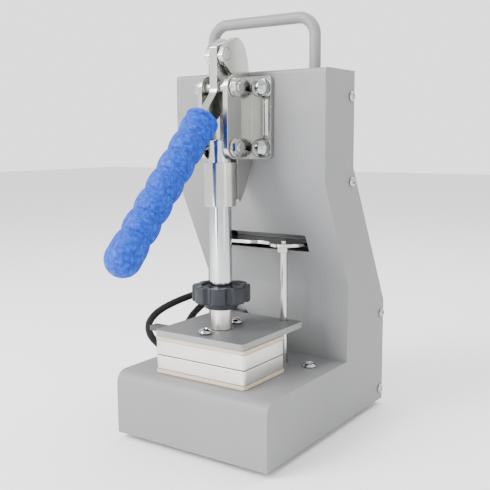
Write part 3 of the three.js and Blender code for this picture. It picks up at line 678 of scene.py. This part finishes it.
def cross_recess(span, depth, top):
    """A tapered four-winged driver recess round local Z, its mouth at height top, in millimetres.

    It goes on past its mouth by CUTTER_RISE, so that it cuts clean through the head's dome.
    """
    half_wing = span * HALF_WING
    outline = []
    for quarter in range(4):
        turn = Matrix.Rotation(quarter * math.pi / 2, 3, "Z")
        for x, y in ((half_wing, half_wing), (half_wing, span / 2), (-half_wing, span / 2)):
            outline.append(turn @ Vector((x, y, 0)))
    rings = []
    for scale, height in ((RECESS_FLOOR, top - depth), (1.0, top), (1.0, top + CUTTER_RISE)):
        rings.append([(point * scale + Vector((0, 0, height))) * MM for point in outline])
    bm = loft(rings)
    bmesh.ops.recalc_face_normals(bm, faces=bm.faces)
    return bm


# Head radius and height, shank radius and length of each kind of screw, as in the CAD
SIDE_SCREW = (3.6, 2.2, 1.8, 7)
BASE_SCREW = (5.1, 3.2, 2, 8)
CARRIER_SCREW = (4.7, 3.4, 2, 12)
# Where the heads' undersides lie
SIDE_SCREW_X = 64.3
BASE_SCREW_Z = 45.8
CARRIER_SCREW_Z = 77.8
# Shares of the head's height: where its dome starts, and the recess's depth
HEAD_EDGE = 0.12
RECESS_DEPTH = 0.75
# Shares of the head's radius: its underside's radius, and the recess's span
HEAD_FOOT = 0.98
RECESS_SPAN = 1.15


def add_screw(node, body, seat, axis, kind, spin):
    """A domed screw with a driver recess in place of its plain CAD node."""
    radius, height, shank_radius, length = kind
    head = dome(radius, height * HEAD_EDGE, height * (1 - HEAD_EDGE), steps=10)
    profile = [(shank_radius, -length), (shank_radius, 0), (radius * HEAD_FOOT, 0), *head]
    bm = placed(turned(profile, count=40), seat, axis, spin)
    piece = make_piece(node + "_detailed", bm, "chrome_fastener", body, CRISP_ANGLE)
    recess = cross_recess(radius * RECESS_SPAN, height * RECESS_DEPTH, height)
    cut_from(piece, placed(recess, seat, axis, spin))
    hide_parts(node)


def add_screws():
    for i in range(1, 5):
        for side, sign in (("left", -1), ("right", 1)):
            node = f"side_screw_{side}_{i}"
            middle = node_middle(node)
            seat = Vector((at(sign * SIDE_SCREW_X, 0, 0).x, middle.y, middle.z))
            add_screw(node, "root", seat, (sign, 0, 0), SIDE_SCREW, spin=0.5 * i + sign)
    for side, sign in (("left", -1), ("right", 1)):
        node = f"base_screw_{side}"
        middle = node_middle(node)
        seat = Vector((middle.x, middle.y, at(0, 0, BASE_SCREW_Z).z))
        add_screw(node, "root", seat, (0, 0, 1), BASE_SCREW, spin=0.4 * sign)
    for end, spin in (("front", 0.3), ("back", 1.1)):
        node = f"carrier_screw_{end}"
        middle = node_middle(node)
        seat = Vector((middle.x, middle.y, at(0, 0, CARRIER_SCREW_Z).z))
        add_screw(node, "head", seat, (0, 0, 1), CARRIER_SCREW, spin)


NUT_SEAT_Y = 68.8
NUT_RADIUS = 7
NUT_HEIGHT = 7.5
# The collar's height, its softened edge, and the step in from it to the dome
NUT_COLLAR = 0.8
NUT_EDGE = 0.3
NUT_STEP = 0.2
# Radius and length
NUT_SHANK = (2.5, 12)


def nut_profile():
    """(radius, height) points of a shank, a thin collar with softened edges, and a dome on it."""
    shank_radius, length = NUT_SHANK
    inner = NUT_RADIUS - NUT_EDGE
    dome_low = NUT_COLLAR + NUT_EDGE
    return [
        (shank_radius, -length), (shank_radius, 0), (inner, 0), (NUT_RADIUS, 0.25),
        (NUT_RADIUS, NUT_COLLAR),
        *dome(NUT_RADIUS - NUT_STEP, dome_low, NUT_HEIGHT - dome_low, steps=12),
    ]


def add_dome_nuts():
    """Four polished domes on thin collars hold the clamp to the housing."""
    for end in ("lower", "upper"):
        for side in ("left", "right"):
            node = f"clamp_bolt_{end}_{side}"
            middle = node_middle(node)
            seat = Vector((middle.x, at(0, NUT_SEAT_Y, 0).y, middle.z))
            bm = placed(turned(nut_profile(), count=48), seat, (0, -1, 0))
            piece = make_piece(node + "_dome", bm, "chrome_fastener", "root", CRISP_ANGLE)
            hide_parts(node)


add_screws()
add_dome_nuts()

# ---------------------------------------------------------------- adjusting knob

KNOB_LOBES = 8
KNOB_TURN = math.radians(-15)
KNOB_RADIUS = 20.5
KNOB_GROOVE = 2.8
GROOVE_HALF_WIDTH = math.radians(7.7)
# The hub's underside, the rim's underside and the top
KNOB_HEIGHTS = (92.3, 97.2, 108.7)
KNOB_CENTRE_Y = 40.5
KNOB_BORE = 4.4
KNOB_HUB = 11.8
KNOB_RECESS = 8.5
KNOB_FLOOR = 97
KNOB_SIDES = 192
RIM_ROUND = 1.1
# The ring sunk into the top: its outer and inner radius, and how deep it is
SUNK_RING = (13.4, 9.2, 1.4)
# The round marks in the lobes: how far out they are, their radius and depth
LOBE_MARK = (16.9, 1.1, 2)


def knob_wave(angle):
    """Wide lobes with a narrow groove between neighbours, as a share of the outer radius."""
    pitch = 2 * math.pi / KNOB_LOBES
    away = (angle - KNOB_TURN) % pitch - pitch / 2
    return 1 - KNOB_GROOVE / KNOB_RADIUS * math.exp(-(away / GROOVE_HALF_WIDTH) ** 4)


def knob_rings():
    """Rings once round the knob's section: from its bore up the outside and back to the bore."""
    low, step, high = KNOB_HEIGHTS
    outer, inner, sink = SUNK_RING
    underside = [
        (KNOB_BORE, low), (KNOB_HUB - 0.8, low), (KNOB_HUB - 0.2, low + 0.25), (KNOB_HUB, low + 0.8),
        (KNOB_HUB, step),
    ]
    # (inset from the outline, height) points
    rim = [
        (2 * RIM_ROUND, step),
        *arc(RIM_ROUND, (RIM_ROUND, step + RIM_ROUND), 270, 180, steps=5),
        *arc(RIM_ROUND, (RIM_ROUND, high - RIM_ROUND), 180, 90, steps=5),
    ]
    top = [
        (outer + 0.8, high), (outer + 0.4, high - 0.2), (outer, high - sink), (inner, high - sink),
        (KNOB_RECESS, high - sink - 0.5), (KNOB_RECESS, KNOB_FLOOR), (KNOB_BORE, KNOB_FLOOR),
    ]

    def circle(radius, height):
        return ring_points(radius * MM, height * MM, KNOB_SIDES)

    def lobed(inset, height):
        return ring_points((KNOB_RADIUS - inset) * MM, height * MM, KNOB_SIDES, knob_wave)

    return (
        [circle(*point) for point in underside]
        + [lobed(*point) for point in rim]
        + [circle(*point) for point in top]
    )


def add_knob():
    """A lobed hand knob: a hub below, soft rim edges, a sunk ring and the plunger's recess on top."""
    bm = bmesh.new()
    rows = [[bm.verts.new(point) for point in ring] for ring in knob_rings()]
    skin(bm, [*rows, rows[0]])
    placed(bm, at(0, KNOB_CENTRE_Y, 0))
    knob = make_piece("adjuster_knob_detailed", bm, "black_plastic", "knob", CRISP_ANGLE)
    reach, mark_radius, mark_depth = LOBE_MARK
    for i in range(KNOB_LOBES):
        angle = 2 * math.pi * i / KNOB_LOBES + KNOB_TURN
        x = reach * math.cos(angle)
        y = KNOB_CENTRE_Y + reach * math.sin(angle)
        mark = turned([(mark_radius, 0), (mark_radius, 2 * mark_depth)], count=20)
        cut_from(knob, placed(mark, at(x, y, KNOB_HEIGHTS[-1] - mark_depth)))
    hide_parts("adjuster_knob")


add_knob()

# ---------------------------------------------------------------- small pieces with no CAD node

def rounded_box(centre, size, radius):
    """A box with bevelled edges, its centre and sizes in millimetres."""
    bm = bmesh.new()
    made = bmesh.ops.create_cube(bm, size=1)["verts"]
    scale = Matrix.Diagonal((*[s * MM for s in size], 1))
    bmesh.ops.transform(bm, matrix=Matrix.Translation(at(*centre)) @ scale, verts=made)
    edges = list({edge for vert in made for edge in vert.link_edges})
    bmesh.ops.bevel(bm, geom=edges, offset=radius * MM, segments=4, affect="EDGES", profile=0.5)
    return bm


# A thin grey sheet put in the slot as painted shade
SLOT_SHADE_SHEET = {"centre": (-2.5, 111.8, 140.2), "size": (66.6, 0.3, 11.4), "radius": 0.1}
DISPLAY_WINDOW = {"centre": (0, 119.55, 227), "size": (43.2, 0.6, 19.2), "radius": 0.25}


def add_slot_shade_sheet():
    """A sheet in the carrier's paint over the guide bracket's lip, seen through the slot: painted shade
    that darkens the slot.
    """
    make_piece("slot_shade_sheet", rounded_box(**SLOT_SHADE_SHEET), "carrier_paint", "root")


def add_display():
    """The controller's dark window."""
    make_piece("display_window", rounded_box(**DISPLAY_WINDOW), "switch_plastic", "root")


add_slot_shade_sheet()
add_display()

# ---------------------------------------------------------------- CAD nodes: materials and soft edges

# Bevel widths in millimetres
EDGE_SOFTNESS = {"housing_shell": 0.6, "carrier_plate": 0.5, "upper_platen": 0.4, "lower_platen": 0.4}
DEFAULT_SOFTNESS = 0.25
BEVEL_ANGLE = math.radians(38)
FLAT_ANGLE = math.radians(1)
WELD_DISTANCE = 0.00001


def soften(node, width):
    """Welds, flattens and bevels a faceted node so that its edges catch the light."""
    weld = node.modifiers.new("weld", "WELD")
    weld.merge_threshold = WELD_DISTANCE
    flatten = node.modifiers.new("flatten", "DECIMATE")
    flatten.decimate_type = "DISSOLVE"
    flatten.angle_limit = FLAT_ANGLE
    edge = node.modifiers.new("edge", "BEVEL")
    edge.width = width * MM
    edge.segments = 2
    edge.limit_method = "ANGLE"
    edge.angle_limit = BEVEL_ANGLE
    edge.use_clamp_overlap = True
    normals = node.modifiers.new("normals", "WEIGHTED_NORMAL")
    normals.keep_sharp = True


def dress_nodes():
    """Gives each CAD node its slot's material, and soft edges unless it is a cable."""
    slots = {row["node"]: row["material_slot"] for row in frame["record"]["subparts"]}
    for name, node in frame["nodes"].items():
        node.data.materials.clear()
        node.data.materials.append(MATERIALS[slots[name]])
        for polygon in node.data.polygons:
            polygon.use_smooth = True
        if name not in CABLE_ROUTES:
            soften(node, EDGE_SOFTNESS.get(name, DEFAULT_SOFTNESS))


dress_nodes()
